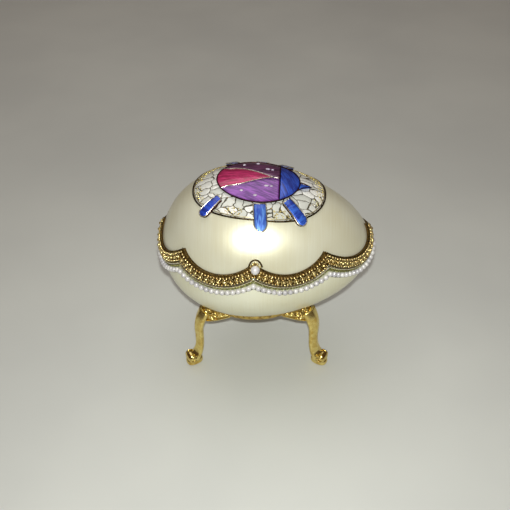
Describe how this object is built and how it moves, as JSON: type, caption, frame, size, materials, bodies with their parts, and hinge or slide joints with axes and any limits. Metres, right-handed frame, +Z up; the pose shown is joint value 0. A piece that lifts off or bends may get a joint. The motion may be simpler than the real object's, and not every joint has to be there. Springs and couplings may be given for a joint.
{
  "type": "egg trinket box",
  "caption": "Trinket box made from a blown goose egg lying on its side on a legged gilt stand, with a lift-off lid, scalloped braid and pearl trim and an inlaid beetle panel.",
  "frame": {"origin": "on the floor, below the middle of the whole object's bounding box", "axes": "+X along the egg's long axis to its pointed end, the beetle's head and its snout; -Y is the front, with the single pearl; +Z up"},
  "size_m": [0.0906, 0.0714, 0.089],
  "materials": {
    "shell": "pearl-lustre cream lacquer over real eggshell, faint brush streaks",
    "gilt_stand": "bright gold plate on a cast base, darker in the hollows",
    "gilt_braid": "gilt metal-thread braid with beads, dark between them",
    "silver_wire": "bright silver-coloured wire",
    "pearls": "white pearl lustre",
    "mosaic": "white and silver crackled ground with dark cell lines",
    "dark_wire": "dark antiqued wire",
    "crimson_enamel": "streaky crimson-pink enamel",
    "purple_enamel": "streaky purple enamel with silver dots",
    "plum_enamel": "dark plum enamel with silver dots",
    "blue_enamel": "streaky blue enamel"
  },
  "bodies": {
    "root": {"bowl": "shell", "lid": "shell", "gold_braid": "gilt_braid", "lid_rim_wire": "silver_wire", "bowl_cord": "gilt_braid", "pearl_string": "pearls", "front_pearl": "pearls", "panel_ground": "mosaic", "panel_rim": "dark_wire", "back_wedge": "crimson_enamel", "wing_case_near": "purple_enamel", "wing_case_far": "plum_enamel", "head": "blue_enamel", "snout": "blue_enamel", "stand": "gilt_stand", "leg_rear_near": "blue_enamel", "leg_middle_near": "blue_enamel", "leg_front_near": "blue_enamel", "leg_rear_far": "blue_enamel", "leg_middle_far": "blue_enamel", "leg_front_far": "blue_enamel"}
  },
  "joints": []
}
